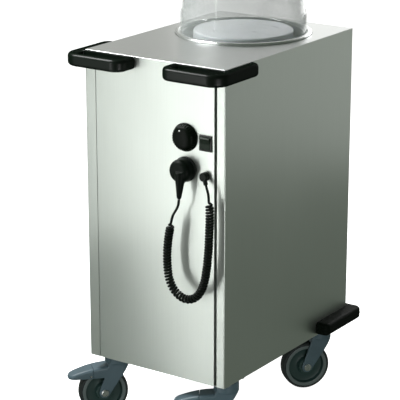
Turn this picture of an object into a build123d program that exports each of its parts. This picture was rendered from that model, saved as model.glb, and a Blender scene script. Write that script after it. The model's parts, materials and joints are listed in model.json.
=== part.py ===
from build123d import *
import math
import os

# Plate dispenser cart: a sheet-steel cabinet on four swivel castors. A round tube hangs in the deck,
# where tension springs hold a platform of warm plates level with the opening under a clear cover.
# Millimetres. The origin is on the floor under the middle of the cabinet; -Y is the front, +Z is up.

# ---- driving dimensions ------------------------------------------------------------------------

# cabinet
cabinet_width = 400.0
cabinet_depth = 575.0
cabinet_height = 775.0
ground_clearance = 168.0
sheet = 1.5
fold_radius = 2.5
left_return = 29.5
right_return = 22.0
rear_return = 20.0
left_joint = 1.5
right_joint = 8.0
rear_joint = 0.6
front_fold_depth = 12.0
post_lap = 4.0
post_depth = 26.0
joint_gap = 0.5
deck_edge_radius = 1.0
rim_height = 30.0

# running and seating clearances
shaft_clearance = 0.05
seat_clearance = 0.3
screw_clearance = 0.2

# dispenser
dispenser_from_rear = 195.0
tube_bore_radius = 150.0
tube_wall = 1.2
tube_clearance = 33.0
flange_radius = 169.0
recess_gap = 1.5
recess_depth = 2.5
recess_ledge = 20.0
collar_width = 11.0
collar_height = 7.0
collar_round = 3.0
floor_overlap = 6.0
floor_sheet = 2.0
air_hole_radius = 7.0
air_hole_circle = 90.0
air_hole_count = 12
cable_hole_radius = 20.0
guide_rod_radius = 5.0
guide_circle = 140.0
guide_count = 3
hanger_drop = 24.0
hanger_sheet = 4.0
hanger_bore_radius = 128.0
buffer_radius = 9.0
buffer_length = 44.0
platform_radius = 124.0
platform_lift = 8.0
platform_sheet = 2.0
platform_rim = 24.0
platform_edge_radius = 5.0
carriage_drop = 112.0
carriage_sheet = 3.0
carriage_margin = 3.0
bush_radius = 9.0
bush_length = 50.0
column_radius = 8.0
column_circle = 80.0
spring_radius = 6.5
spring_bore_radius = 4.7
spring_angle = 30.0

# cover
cover_wall = 3.0
cover_skirt_radius = 156.0
cover_skirt_height = 57.0
cover_body_radius = 151.5
cover_top_radius = 147.5
cover_height = 213.0
cover_shoulder = 24.0
cover_crown = 6.0
grip_radius = 32.0
grip_height = 26.0
grip_neck_radius = 16.0
grip_neck_height = 9.0
grip_round = 6.0

# corner handles
grip_bar_depth = 20.0
grip_bar_height = 31.0
grip_bar_round = 9.0
handle_reach = 61.0
handle_side_reach = 25.0
handle_front_length = 171.0
handle_side_length = 115.0
handle_corner_radius = 30.0
handle_leg_radius = 20.0
handle_side_radius = 13.0
handle_plate = 5.0
handle_plate_margin = 1.5
handle_web_height = 24.0

# rear bumpers
bumper_height = 33.0
bumper_bottom = 3.0
bumper_side_length = 154.0
bumper_side_reach = 35.0
bumper_rear_reach = 24.0
bumper_rear_length = 120.0
bumper_corner_radius = 16.0
bumper_round = 10.0
bumper_end_radius = 15.0

# thermostat
knob_from_right = 110.0
knob_height = 603.0
knob_radius = 34.0
knob_base = 7.0
knob_depth = 20.0
knob_crown_radius = 28.0
knob_grip_width = 13.0
knob_grip_depth = 4.0
spindle_radius = 3.0
spindle_reach = 16.0
spindle_hole_radius = 5.0
thermostat_width = 46.0
thermostat_depth = 30.0

# switch
switch_from_right = 53.0
switch_below_knob = 6.0
switch_width = 34.0
switch_tall = 38.0
switch_border = 3.2
switch_rim_depth = 4.0
switch_body_depth = 24.0
switch_body_wall = 2.0
switch_body_inset = 1.5
rocker_swing = 10.0
rocker_crest = 6.0
rocker_back = 6.0
rocker_pivot_depth = 1.0
rocker_pin_radius = 1.6
rocker_pin_reach = 1.2

# parking socket, plug and gland
socket_from_right = 109.0
socket_below_knob = 76.0
socket_radius = 30.0
socket_rim = 5.0
socket_cup_radius = 23.0
socket_cup_depth = 32.0
socket_bore_radius = 19.8
socket_bore_depth = 36.0
plug_radius = 28.0
plug_body_depth = 31.0
plug_round = 12.0
plug_insert_radius = 19.0
plug_insert_depth = 16.0
plug_pin_radius = 2.4
plug_pin_length = 16.0
plug_pin_spread = 9.5
plug_neck_radius = 14.0
plug_neck_tip_radius = 5.4
gland_from_right = 53.0
gland_below_switch = 79.0
gland_radius = 11.0
gland_depth = 14.0
gland_round = 3.0
gland_shank_radius = 8.0
gland_shank_depth = 14.0
gland_nut_radius = 12.0
gland_nut_depth = 6.0
spigot_radius = 5.2
spigot_length = 11.0

# curly cord: points of its two plain ends and of the coil's own axis, chosen by hand.
# Each is the distance right of the cabinet's middle, out from its front, and up from its bottom.
wire_radius = 3.1
curl_radius = 7.4
curl_gap = 0.6
curl_run_in = 15.0
arc_share = 0.45
gap_samples = 24
halvings = 40
cord_lead = 11.0
coil_points = [
    (78.5, 41, 411), (67.5, 42, 358), (65, 42, 305), (71, 42, 259), (92, 41, 230), (122, 40, 220),
    (150, 38, 234), (167, 36, 267), (174, 34, 315), (177, 32, 366), (178, 30, 416), (177, 28, 450), (171.5, 25, 476),
]
plug_exit_points = [(96, 36, 463), (95.8, 37, 450), (91, 39, 438)]
gland_exit_points = [(163.5, 20.5, 494.5), (157.5, 16, 503)]

# electrics inside
heater_radius = 100.0
heater_rod_radius = 4.25
heater_drop = 14.0
heater_gap_angle = 14.0
heater_tail = 70.0
terminal_width = 120.0
terminal_depth = 60.0
terminal_height = 45.0
terminal_from_front = 90.0
terminal_round = 4.0

# castors
castor_inset_x = 35.0
castor_front_inset = 62.0
castor_rear_inset = 80.0
wheel_radius = 62.5
wheel_width = 32.0
rim_radius = 55.5
rim_web = 8.0
rim_lip = 9.5
hub_radius = 20.0
hub_width = 36.0
tyre_round = 5.0
axle_radius = 6.0
axle_head_radius = 9.5
axle_head = 5.0
castor_trail = 37.0
front_left_heading = -131.0
front_right_heading = -147.0
rear_left_heading = -58.0
rear_right_heading = -130.0
mount_plate = 4.0
mount_plate_width = 60.0
mount_plate_length = 86.0
mount_bolt_spacing_x = 44.0
mount_bolt_spacing_y = 66.0
mount_bolt_radius = 4.0
mount_bolt_head_radius = 7.0
mount_bolt_head = 3.2
kingpin_radius = 8.0
head_radius = 31.0
head_height = 26.0
head_gap = 0.5
head_round = 7.0
fork_inside = 40.0
fork_wall = 5.0
hood_gap = 3.0
shoulder_back = 21.0
shoulder_ahead = 12.0
shoulder_drop = 20.0
shoulder_radius = 10.0
leg_tip_radius = 14.0
fork_round = 20.0
brake_hood_wall = 4.0
brake_hood_round = 8.0
brake_hood_back = 10.0
brake_hood_skirt = 40.5
brake_hood_end = 65.0
pedal_reach = 127.0
pedal_tip_thickness = 8.5
pedal_tip_width = 38.0
pedal_tip_round = 17.0
pedal_swing = 10.0
pedal_pivot_reach = 71.0
pedal_pivot_rise = 46.5
pedal_pin_radius = 2.2
pedal_ear_radius = 6.0
pedal_ear_wall = 2.4
ear_gap = 0.6

# fasteners
screw_radius = 2.0
screw_head_radius = 4.0
screw_head = 1.8
screw_length = 10.0
rear_screw_inset = 10.0
rear_screw_end = 65.0
rear_screw_rows = 4

# ---- derived places ----------------------------------------------------------------------------

half_width = cabinet_width / 2
front_y = -cabinet_depth / 2
rear_y = cabinet_depth / 2
bottom_z = ground_clearance
deck_z = ground_clearance + cabinet_height
inner_x = half_width - sheet
front_inner_y = front_y + sheet
rear_inner_y = rear_y - sheet
post_front_y = front_y + front_fold_depth
post_rear_y = post_front_y + post_depth
panel_left_x = -half_width + left_return + left_joint
panel_right_x = half_width - right_return - right_joint

dispenser_y = rear_y - dispenser_from_rear
seat_z = deck_z - recess_depth
flange_z = seat_z + sheet
recess_radius = flange_radius + recess_gap
tube_outer_radius = tube_bore_radius + tube_wall
tube_length = cabinet_height - tube_clearance
tube_bottom_z = flange_z - tube_length
platform_z = deck_z + platform_lift
carriage_z = platform_z - carriage_drop
hanger_z = flange_z - hanger_drop
bush_top_z = hanger_z - hanger_sheet - buffer_length - seat_clearance
guide_angles = [90 + 360 * i / guide_count for i in range(guide_count)]
spring_angles = [spring_angle + 360 * i / guide_count for i in range(guide_count)]

knob_x = half_width - knob_from_right
knob_z = bottom_z + knob_height
switch_x = half_width - switch_from_right
switch_z = knob_z - switch_below_knob
socket_x = half_width - socket_from_right
socket_z = knob_z - socket_below_knob
gland_x = half_width - gland_from_right
gland_z = switch_z - gland_below_switch
axle_z = wheel_radius
castors = {
    "front_left": (-half_width + castor_inset_x, front_y + castor_front_inset, front_left_heading),
    "front_right": (half_width - castor_inset_x, front_y + castor_front_inset, front_right_heading),
    "rear_left": (-half_width + castor_inset_x, rear_y - castor_rear_inset, rear_left_heading),
    "rear_right": (half_width - castor_inset_x, rear_y - castor_rear_inset, rear_right_heading),
}


def beyond(start, end, distance):
    """The point at a distance past the end of a run."""
    length = math.dist(start, end)
    return tuple(e + (e - s) * distance / length for s, e in zip(start, end))


plug_tail_points = [*plug_exit_points, beyond(coil_points[1], coil_points[0], cord_lead), coil_points[0]]
gland_tail_points = [coil_points[-1], beyond(coil_points[-2], coil_points[-1], cord_lead), *gland_exit_points]

# ---- helpers -----------------------------------------------------------------------------------


def save(name, shape):
    """Write one sub-part to its own file."""
    export_step(shape, f"parts/{name}.step")


def block(x, y, z):
    """A box given by its two limits along each axis."""
    return Pos(x[0], y[0], z[0]) * Box(x[1] - x[0], y[1] - y[0], z[1] - z[0], align=(Align.MIN,) * 3)


def disc(radius, z, at=(0, 0)):
    """An upright cylinder between two heights."""
    centre = (Align.CENTER, Align.CENTER, Align.MIN)
    return Pos(at[0], at[1], z[0]) * Cylinder(radius, z[1] - z[0], align=centre)


def ring(outer, inner, z, at=(0, 0)):
    """An upright ring between two heights."""
    return disc(outer, z, at) - disc(inner, z, at)


def rod(radius, start, end):
    """A round bar from one point to another."""
    run = Vector(*end) - Vector(*start)
    place = Plane(origin=start, z_dir=run)
    return place * Cylinder(radius, run.length, align=(Align.CENTER, Align.CENTER, Align.MIN))


def spun(points, at):
    """A body turned about the vertical axis from an outline of (radius, height) points."""
    outline = make_face(Polyline(*[(r, 0, z) for r, z in points], close=True))
    return Pos(at[0], at[1], 0) * revolve(outline, Axis.Z)


def around(count, radius, first=0.0):
    """Points evenly spaced on the dispenser's own circle."""
    turns = [math.radians(first + 360 * i / count) for i in range(count)]
    return [(radius * math.cos(t), dispenser_y + radius * math.sin(t)) for t in turns]


def outward(x, depth, z):
    """A point at a distance out from the cabinet's front."""
    return (x, front_y - depth, z)


def facing_front(x, z, depth=0.0):
    """A plane on the front panel, with its own Z pointing out of the cabinet."""
    return Plane(origin=outward(x, depth, z), x_dir=(1, 0, 0), z_dir=(0, -1, 0))


# ---- cabinet -----------------------------------------------------------------------------------

panel_z = (bottom_z, deck_z - sheet)


def rear_screw_places():
    """Where the rear panel is screwed to the side returns."""
    rise = (cabinet_height - 2 * rear_screw_end) / (rear_screw_rows - 1)
    rows = [bottom_z + rear_screw_end + i * rise for i in range(rear_screw_rows)]
    reach = half_width - rear_screw_inset
    return [(side * reach, z) for side in (-1, 1) for z in rows]


def screw_hole(x, z):
    """Clearance hole for one rear screw."""
    return rod(screw_radius + screw_clearance, (x, rear_inner_y - 2 * sheet, z), (x, rear_y + sheet, z))


def side_panel(side, front_return):
    """One side sheet with its folded front post and rear return."""
    span_x = sorted((side * half_width, side * inner_x))
    front_x = sorted((side * half_width, side * (half_width - front_return)))
    rear_x = sorted((side * half_width, side * (half_width - rear_return)))
    body = block(span_x, (front_y, rear_y), panel_z)
    body += block(front_x, (front_y, front_inner_y), panel_z)
    body += block(rear_x, (rear_inner_y, rear_y), panel_z)
    upright = body.edges().filter_by(Axis.Z)
    corners = [e for e in upright if abs(e.center().X - side * half_width) < joint_gap]
    body = fillet(corners, fold_radius)
    for x, z in rear_screw_places():
        if x * side > 0:
            body -= screw_hole(x, z)
    return body


def rims(z):
    """Four folded flanges just inside the side, front and rear sheets."""
    body = Part()
    for side in (-1, 1):
        across = sorted((side * inner_x, side * (inner_x - sheet)))
        body += block(across, (post_rear_y + joint_gap, rear_inner_y), z)
    front_x = (panel_left_x + sheet + joint_gap, panel_right_x - sheet - joint_gap)
    body += block(front_x, (front_inner_y, front_inner_y + sheet), z)
    body += block((-inner_x + sheet, inner_x - sheet), (rear_inner_y - sheet, rear_inner_y), z)
    return body


def rear_panel():
    """Flat rear sheet with joggled side edges that lie inside the returns."""
    flat = half_width - rear_return - rear_joint
    body = block((-flat, flat), (rear_inner_y, rear_y), panel_z)
    tongue_y = (rear_inner_y - sheet, rear_inner_y)
    lap_z = (bottom_z + rim_height + sheet, deck_z - rim_height - sheet)
    for side in (-1, 1):
        lap = sorted((side * (flat - rear_return), side * (inner_x - joint_gap)))
        body += block(lap, tongue_y, lap_z)
    for x, z in rear_screw_places():
        body -= screw_hole(x, z)
    return body


def base_tray():
    """Floor pan of the cabinet, with the holes for the castor bolts."""
    body = block((-inner_x, inner_x), (front_inner_y, rear_inner_y), (bottom_z, bottom_z + sheet))
    body += rims((bottom_z, bottom_z + rim_height))
    for x, y in castor_bolt_places():
        body -= disc(mount_bolt_radius + screw_clearance, (bottom_z - sheet, bottom_z + 2 * sheet), (x, y))
    return body


def corner_post(side, panel_edge_x):
    """Folded channel behind a front corner; the front panel's fold is screwed to it."""
    inner_reach = side * panel_edge_x - post_lap
    span = sorted((side * inner_x, side * inner_reach))
    rise = (bottom_z + sheet, deck_z - sheet)
    body = block(span, (post_front_y, post_rear_y), rise)
    hollow = sorted((side * (inner_x - sheet), side * (inner_reach + sheet)))
    return body - block(hollow, (post_front_y + sheet, post_rear_y + sheet), rise)


def front_panel():
    """Front sheet with folded side edges and the cut-outs for the controls."""
    body = block((panel_left_x, panel_right_x), (front_y, front_inner_y), panel_z)
    for edge, way in ((panel_left_x, 1), (panel_right_x, -1)):
        fold = sorted((edge, edge + way * sheet))
        body += block(fold, (front_y, post_front_y), (bottom_z + sheet, deck_z - sheet))
    holes = (
        (spindle_hole_radius, knob_x, knob_z),
        (socket_cup_radius + screw_clearance, socket_x, socket_z),
        (gland_shank_radius + screw_clearance, gland_x, gland_z),
    )
    for radius, x, z in holes:
        body -= rod(radius, (x, front_y - sheet, z), (x, front_inner_y + sheet, z))
    wide = switch_width / 2 - switch_body_inset + screw_clearance
    tall = switch_tall / 2 - switch_body_inset + screw_clearance
    window = ((switch_x - wide, switch_x + wide), (switch_z - tall, switch_z + tall))
    return body - block(window[0], (front_y - sheet, front_inner_y + sheet), window[1])


def top_deck():
    """Deck sheet with a pressed seat for the dispenser tube and rims folded down inside."""
    at = (0, dispenser_y)
    body = block((-half_width, half_width), (front_y, rear_y), (deck_z - sheet, deck_z))
    body = fillet(body.edges().filter_by(Axis.Z), fold_radius)
    body = fillet(body.faces().sort_by(Axis.Z)[-1].edges(), deck_edge_radius)
    body -= disc(recess_radius, (deck_z - 2 * sheet, deck_z + sheet), at)
    body += ring(recess_radius + sheet, recess_radius, (seat_z - sheet, deck_z - sheet), at)
    body += ring(recess_radius + sheet, flange_radius - recess_ledge, (seat_z - sheet, seat_z), at)
    body -= disc(tube_outer_radius + screw_clearance, (seat_z - 2 * sheet, seat_z + sheet), at)
    return body + rims((deck_z - rim_height, deck_z - sheet))


# ---- corner handles and bumpers ----------------------------------------------------------------


def handle_path(side):
    """Centre line of a handle's bar: off the front, round the corner and back to the side."""
    bar = grip_bar_depth / 2
    front_x = side * (half_width + handle_side_reach - handle_front_length + bar)
    out_y = front_y - handle_reach + bar
    side_x = side * (half_width + handle_side_reach - bar)
    end_y = front_y + handle_side_length - bar
    points = [
        (front_x, front_y, 0), (front_x, out_y, 0), (side_x, out_y, 0), (side_x, end_y, 0),
        (side * half_width, end_y, 0),
    ]
    return points


def handle(side):
    """Moulded corner handle: a bent grip bar on a thin back plate, with a solid corner web."""
    points = handle_path(side)
    mid_z = deck_z - grip_bar_height / 2
    path = FilletPolyline(*points, radius=[handle_leg_radius, handle_corner_radius, handle_side_radius])
    start = Plane(origin=points[0], x_dir=(1, 0, 0), z_dir=(0, -1, 0))
    section = start * RectangleRounded(grip_bar_depth, grip_bar_height, grip_bar_round)
    body = Pos(0, 0, mid_z) * sweep(section, path=path)
    plate_z = (deck_z - grip_bar_height + handle_plate_margin, deck_z - handle_plate_margin)
    front_x = sorted((points[0][0], side * (half_width + handle_plate)))
    side_x = sorted((side * half_width, side * (half_width + handle_plate)))
    body += block(front_x, (front_y - handle_plate, front_y), plate_z)
    body += block(side_x, (front_y - handle_plate, points[3][1]), plate_z)
    web_x = sorted((side * half_width, points[2][0]))
    web_z = (mid_z - handle_web_height / 2, mid_z + handle_web_height / 2)
    return body + block(web_x, (points[2][1] + handle_corner_radius / 2, front_y), web_z)


def rear_bumper(side):
    """Solid rubber corner bumper low on the rear edge."""
    low = bottom_z + bumper_bottom
    far_x = side * (half_width + bumper_side_reach)
    far_y = rear_y + bumper_rear_reach
    near_y = rear_y - bumper_side_length
    end_x = side * (half_width + bumper_side_reach - bumper_rear_length)
    outline = [
        (side * half_width, near_y), (far_x, near_y), (far_x, far_y), (end_x, far_y),
        (end_x, rear_y), (side * half_width, rear_y),
    ]
    face = make_face(Polyline(*outline, close=True))
    body = Pos(0, 0, low) * extrude(face, bumper_height, dir=(0, 0, 1))
    rounds = ((far_x, far_y, bumper_corner_radius), (far_x, near_y, bumper_end_radius), (end_x, far_y, bumper_end_radius))
    for x, y, radius in rounds:
        upright = body.edges().filter_by(Axis.Z)
        corner = [e for e in upright if (e.center() - Vector(x, y, e.center().Z)).length < joint_gap]
        body = fillet(corner, radius)
    level = [body.faces().sort_by(Axis.Z)[0], body.faces().sort_by(Axis.Z)[-1]]
    reach_y = rear_y + bumper_round
    reach_x = half_width + bumper_round
    edges = [e for f in level for e in f.edges()]
    outer = [e for e in edges if e.center().Y > reach_y or side * e.center().X > reach_x]
    return fillet(outer, bumper_round)


# ---- dispenser ---------------------------------------------------------------------------------


def dispenser_tube():
    """Steel tube that hangs by its flange in the deck's pressed seat."""
    outline = [
        (tube_bore_radius, tube_bottom_z), (tube_outer_radius, tube_bottom_z), (tube_outer_radius, seat_z),
        (flange_radius, seat_z), (flange_radius, flange_z), (tube_bore_radius, flange_z),
    ]
    return spun(outline, (0, dispenser_y))


def collar_ring():
    """Raised ring on the flange that keeps the cover in place."""
    inner = flange_radius - collar_width
    body = ring(flange_radius, inner, (flange_z, flange_z + collar_height), (0, dispenser_y))
    return fillet(body.faces().sort_by(Axis.Z)[-1].edges(), collar_round)


def tube_floor():
    """Perforated plate under the tube; warm air rises through it."""
    span = (tube_bottom_z - floor_sheet, tube_bottom_z)
    body = disc(tube_outer_radius + floor_overlap, span, (0, dispenser_y))
    body -= disc(cable_hole_radius, span, (0, dispenser_y))
    for x, y in around(air_hole_count, air_hole_circle):
        body -= disc(air_hole_radius, span, (x, y))
    return body


def guide_rods():
    """Upright rods that guide the carriage and keep the plates in the middle."""
    span = (tube_bottom_z, hanger_z - hanger_sheet)
    return Compound([disc(guide_rod_radius, span, at) for at in around(guide_count, guide_circle, guide_angles[0])])


def spring_hanger():
    """Ring inside the mouth of the tube that the springs and the guide rods hang from."""
    span = (hanger_z - hanger_sheet, hanger_z)
    return ring(tube_bore_radius - shaft_clearance, hanger_bore_radius, span, (0, dispenser_y))


def buffers():
    """Rubber sleeves on the guide rods that stop the carriage at the top."""
    span = (hanger_z - hanger_sheet - buffer_length, hanger_z - hanger_sheet)
    bore = guide_rod_radius + shaft_clearance
    return Compound([ring(buffer_radius, bore, span, at) for at in around(guide_count, guide_circle, guide_angles[0])])


def platform():
    """Round plate rest with a turned-down rim."""
    body = disc(platform_radius, (platform_z - platform_rim, platform_z), (0, dispenser_y))
    body = fillet(body.faces().sort_by(Axis.Z)[-1].edges(), platform_edge_radius)
    hollow = (platform_z - platform_rim, platform_z - platform_sheet)
    inside = disc(platform_radius - platform_sheet, hollow, (0, dispenser_y))
    inside = fillet(inside.faces().sort_by(Axis.Z)[-1].edges(), platform_edge_radius - platform_sheet)
    return body - inside


def platform_carriage():
    """Lower plate and three columns that carry the platform."""
    span = (carriage_z - carriage_sheet, carriage_z)
    body = disc(tube_bore_radius - carriage_margin, span, (0, dispenser_y))
    for at in around(guide_count, guide_circle, guide_angles[0]):
        body -= disc(bush_radius, span, at)
    for at in around(guide_count, column_circle, spring_angles[0]):
        body += disc(column_radius, (carriage_z, platform_z - platform_sheet), at)
    return body - disc(cable_hole_radius, span, (0, dispenser_y))


def guide_bushes():
    """Plastic bushes in the carriage that slide on the guide rods."""
    span = (bush_top_z - bush_length, bush_top_z)
    bore = guide_rod_radius + shaft_clearance
    return Compound([ring(bush_radius, bore, span, at) for at in around(guide_count, guide_circle, guide_angles[0])])


def lift_springs():
    """Close-wound tension springs, drawn as sleeves of their outer and inner diameters."""
    span = (carriage_z + seat_clearance, hanger_z - hanger_sheet)
    places = around(guide_count, guide_circle, spring_angles[0])
    return Compound([ring(spring_radius, spring_bore_radius, span, at) for at in places])


# ---- cover -------------------------------------------------------------------------------------

cover_z = flange_z + seat_clearance


def cover_body(inset):
    """Solid of revolution inside one surface of the cover."""
    skirt_top = cover_z + cover_skirt_height - inset
    side_top = cover_z + cover_height - cover_crown - cover_shoulder
    crown_z = cover_z + cover_height - inset
    skirt = cover_skirt_radius - inset
    foot = cover_body_radius - inset
    head = cover_top_radius - inset
    round_off = cover_shoulder - inset
    flat = head - round_off
    shoulder_z = side_top + round_off
    side = Polyline((0, 0, cover_z), (skirt, 0, cover_z), (skirt, 0, skirt_top), (foot, 0, skirt_top), (head, 0, side_top))
    lean = round_off * math.sin(math.pi / 4)
    bend = ThreePointArc((head, 0, side_top), (flat + lean, 0, side_top + lean), (flat, 0, shoulder_z))
    crown_radius = (flat**2 + cover_crown**2) / (2 * cover_crown)
    half_way = crown_z - crown_radius + math.sqrt(crown_radius**2 - flat**2 / 4)
    crown = ThreePointArc((flat, 0, shoulder_z), (flat / 2, 0, half_way), (0, 0, crown_z))
    back = Line((0, 0, crown_z), (0, 0, cover_z))
    face = make_face(Wire([*side.edges(), bend.edge(), crown.edge(), back.edge()]))
    return Pos(0, dispenser_y, 0) * revolve(face, Axis.Z)


def cover():
    """Clear moulded cover, open below."""
    return cover_body(0) - cover_body(cover_wall)


def cover_grip():
    """Turned knob on top of the cover."""
    top = cover_z + cover_height
    body = disc(grip_neck_radius, (top - cover_crown / 2, top + grip_neck_height), (0, dispenser_y))
    head = disc(grip_radius, (top + grip_neck_height, top + grip_height), (0, dispenser_y))
    body += fillet(head.edges().filter_by(GeomType.CIRCLE), grip_round)
    return body - cover_body(0)


# ---- controls ----------------------------------------------------------------------------------


def turned(place, layers):
    """Coaxial discs along a plane's normal, each (radius, start, end)."""
    body = Part()
    for radius, start, end in layers:
        body += place * Pos(0, 0, start) * Cylinder(radius, end - start, align=(Align.CENTER, Align.CENTER, Align.MIN))
    return body


def thermostat_knob():
    """Domed knob with a grip bar, on its spindle."""
    place = facing_front(knob_x, knob_z, seat_clearance)
    crown_depth = knob_depth - knob_grip_depth
    base = place * Cylinder(knob_radius, knob_base, align=(Align.CENTER, Align.CENTER, Align.MIN))
    base = fillet(base.faces().sort_by(Axis.Y)[0].edges(), knob_base / 3)
    crown = turned(place, [(knob_crown_radius, 0, crown_depth)])
    crown = fillet(crown.faces().sort_by(Axis.Y)[0].edges(), knob_base / 2)
    bar = place * Pos(0, 0, knob_depth / 2) * Box(knob_grip_width, 2 * knob_crown_radius, knob_depth)
    bar &= turned(place, [(knob_crown_radius, 0, knob_depth)])
    spindle = turned(place, [(spindle_radius, -spindle_reach - sheet, knob_base)])
    return base + crown + bar + spindle


def thermostat_body():
    """Thermostat case behind the panel, with a bush for the spindle."""
    half = thermostat_width / 2
    depth = (front_inner_y, front_inner_y + thermostat_depth)
    body = block((knob_x - half, knob_x + half), depth, (knob_z - half, knob_z + half))
    bore = spindle_radius + shaft_clearance
    return body - rod(bore, (knob_x, front_y, knob_z), (knob_x, front_y + 2 * spindle_reach, knob_z))


def rocker_radius():
    """Radius of the rocker's round ends: they turn inside the frame's opening."""
    return switch_tall / 2 - switch_border - seat_clearance


def switch_frame():
    """Switch bezel with its box behind the panel."""
    wide = switch_width / 2
    tall = switch_tall / 2
    span_y = (front_y - switch_rim_depth, front_y)
    body = block((switch_x - wide, switch_x + wide), span_y, (switch_z - tall, switch_z + tall))
    body = fillet(body.faces().sort_by(Axis.Y)[0].edges(), switch_rim_depth / 4)
    wide -= switch_body_inset
    tall -= switch_body_inset
    span_y = (front_y, front_y + switch_body_depth)
    body += block((switch_x - wide, switch_x + wide), span_y, (switch_z - tall, switch_z + tall))
    wide = switch_width / 2 - switch_border
    tall = switch_tall / 2 - switch_border
    span_y = (front_y - switch_rim_depth, front_y + switch_body_depth - switch_body_wall)
    body -= block((switch_x - wide, switch_x + wide), span_y, (switch_z - tall, switch_z + tall))
    pivot_y = front_y + rocker_pivot_depth
    reach = wide + rocker_pin_reach + seat_clearance
    start = (switch_x - reach, pivot_y, switch_z)
    return body - rod(rocker_pin_radius + shaft_clearance, start, (switch_x + reach, pivot_y, switch_z))


def switch_rocker():
    """Rocker, shown switched off: its upper half stands out."""
    radius = rocker_radius()
    half = switch_width / 2 - switch_border - seat_clearance
    slope = math.tan(math.radians(rocker_swing))
    pivot = (0, front_y + rocker_pivot_depth, switch_z)
    body = rod(radius, (-half, 0, 0), (half, 0, 0))
    band = [
        (0, -rocker_crest, 0), (0, -rocker_crest - radius * slope, radius), (0, rocker_back, radius),
        (0, rocker_back, -radius), (0, -rocker_crest - radius * slope, -radius),
    ]
    body &= Pos(-half, 0, 0) * extrude(make_face(Polyline(*band, close=True)), 2 * half, dir=(1, 0, 0))
    reach = half + seat_clearance + rocker_pin_reach
    body += rod(rocker_pin_radius, (-reach, 0, 0), (reach, 0, 0))
    return Pos(switch_x, pivot[1], pivot[2]) * Rot(rocker_swing, 0, 0) * body


def parking_socket():
    """Dummy socket that holds the plug while the cart is moved."""
    place = facing_front(socket_x, socket_z)
    body = turned(place, [(socket_radius, 0, socket_rim), (socket_cup_radius, -socket_cup_depth - sheet, 0)])
    body -= turned(place, [(socket_bore_radius, socket_rim - socket_bore_depth, socket_rim)])
    return fillet(body.edges().filter_by(GeomType.CIRCLE).sort_by(SortBy.RADIUS)[-1], socket_rim / 4)


def plug():
    """Angled plug parked in the socket; its tail points down to the cord."""
    place = facing_front(socket_x, socket_z, socket_rim)
    body = turned(place, [(plug_radius, 0, plug_body_depth)])
    body = fillet(body.faces().sort_by(Axis.Y)[0].edges(), plug_round)
    tail_end = outward(plug_tail_points[0][0], plug_tail_points[0][1], bottom_z + plug_tail_points[0][2])
    next_point = outward(plug_tail_points[1][0], plug_tail_points[1][1], bottom_z + plug_tail_points[1][2])
    leave = (Vector(*next_point) - Vector(*tail_end)).normalized()
    length = socket_z - tail_end[2]
    start = Vector(*tail_end) - leave * length
    tail = Plane(origin=start, z_dir=leave) * Cone(
        plug_neck_radius, plug_neck_tip_radius, length, align=(Align.CENTER, Align.CENTER, Align.MIN)
    )
    body += tail
    insert_end = -plug_insert_depth
    body += turned(place, [(plug_insert_radius, insert_end, 0)])
    for way in (-1, 1):
        pin = place * Pos(0, way * plug_pin_spread, 0)
        body += turned(pin, [(plug_pin_radius, insert_end - plug_pin_length, insert_end)])
    return body


def cord_gland():
    """Angled gland in the panel; the cord leaves it downwards."""
    place = facing_front(gland_x, gland_z)
    head = turned(place, [(gland_radius, 0, gland_depth)])
    head = fillet(head.faces().sort_by(Axis.Y)[0].edges(), gland_round)
    exit_point = cord_point(gland_tail_points[-1])
    before = cord_point(gland_tail_points[-2])
    leave = (before - exit_point).normalized()
    spigot = rod(spigot_radius, tuple(exit_point - leave * spigot_length), tuple(exit_point))
    shank = turned(place, [(gland_shank_radius, -gland_shank_depth - sheet, 0)])
    nut = turned(place, [(gland_nut_radius, -gland_nut_depth - sheet, -sheet)])
    return head + spigot + shank + nut


# ---- curly cord --------------------------------------------------------------------------------


def cord_point(point):
    """A route point in the part's frame."""
    return Vector(*outward(point[0], point[1], bottom_z + point[2]))


def bend_radii(points):
    """Arc radius at each inner point, from the shorter of its two runs."""
    radii = []
    for before, here, after in zip(points, points[1:], points[2:]):
        turn = (here - before).get_angle(after - here)
        run = min((here - before).length, (after - here).length)
        radii.append(arc_share * run / math.tan(math.radians(turn / 2)))
    return radii


def cord_line(name, route):
    """Straight runs joined by tangent arcs through a route."""
    points = [cord_point(p) for p in route]
    radii = bend_radii(points)
    print(name, "bend radii", [round(r, 1) for r in radii])
    return FilletPolyline(*points, radius=radii)


def cord_end(name, route):
    """Plain round stretch of the cord."""
    line = cord_line(name, route)
    section = Plane(origin=line @ 0, z_dir=line % 0) * Circle(wire_radius)
    body = sweep(section, path=line)
    share = body.volume / (math.pi * wire_radius**2 * line.length)
    print(name, "volume over section times length", round(share, 4))
    return body


def axis_stretches(points):
    """Length and bend radius of each straight run and arc that join a route's points."""
    stretches = []
    cut = 0.0
    for i, radius in enumerate(bend_radii(points)):
        before, here, after = points[i:i + 3]
        turn = math.radians((here - before).get_angle(after - here))
        reach = radius * math.tan(turn / 2)
        stretches += [((here - before).length - cut - reach, math.inf), (radius * turn, radius)]
        cut = reach
    return [*stretches, ((points[-1] - points[-2]).length - cut, math.inf)]


def curls_from_end(stretches, distance):
    """Curls from one end of the axis to a distance along it, up to half way; they set in gently."""
    pitch = 2 * wire_radius + curl_gap
    straight = 2 * wire_radius
    grown = max(0.0, min(1.0, (distance - straight) / curl_run_in))
    unwound = min(distance, straight) + curl_run_in * (grown - grown * grown / 2)
    curls = -unwound / pitch
    for length, radius in stretches:
        part = max(0.0, min(length, distance))
        curls += part * (1 - curl_radius / radius) / pitch
        distance -= part
    return curls


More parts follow.
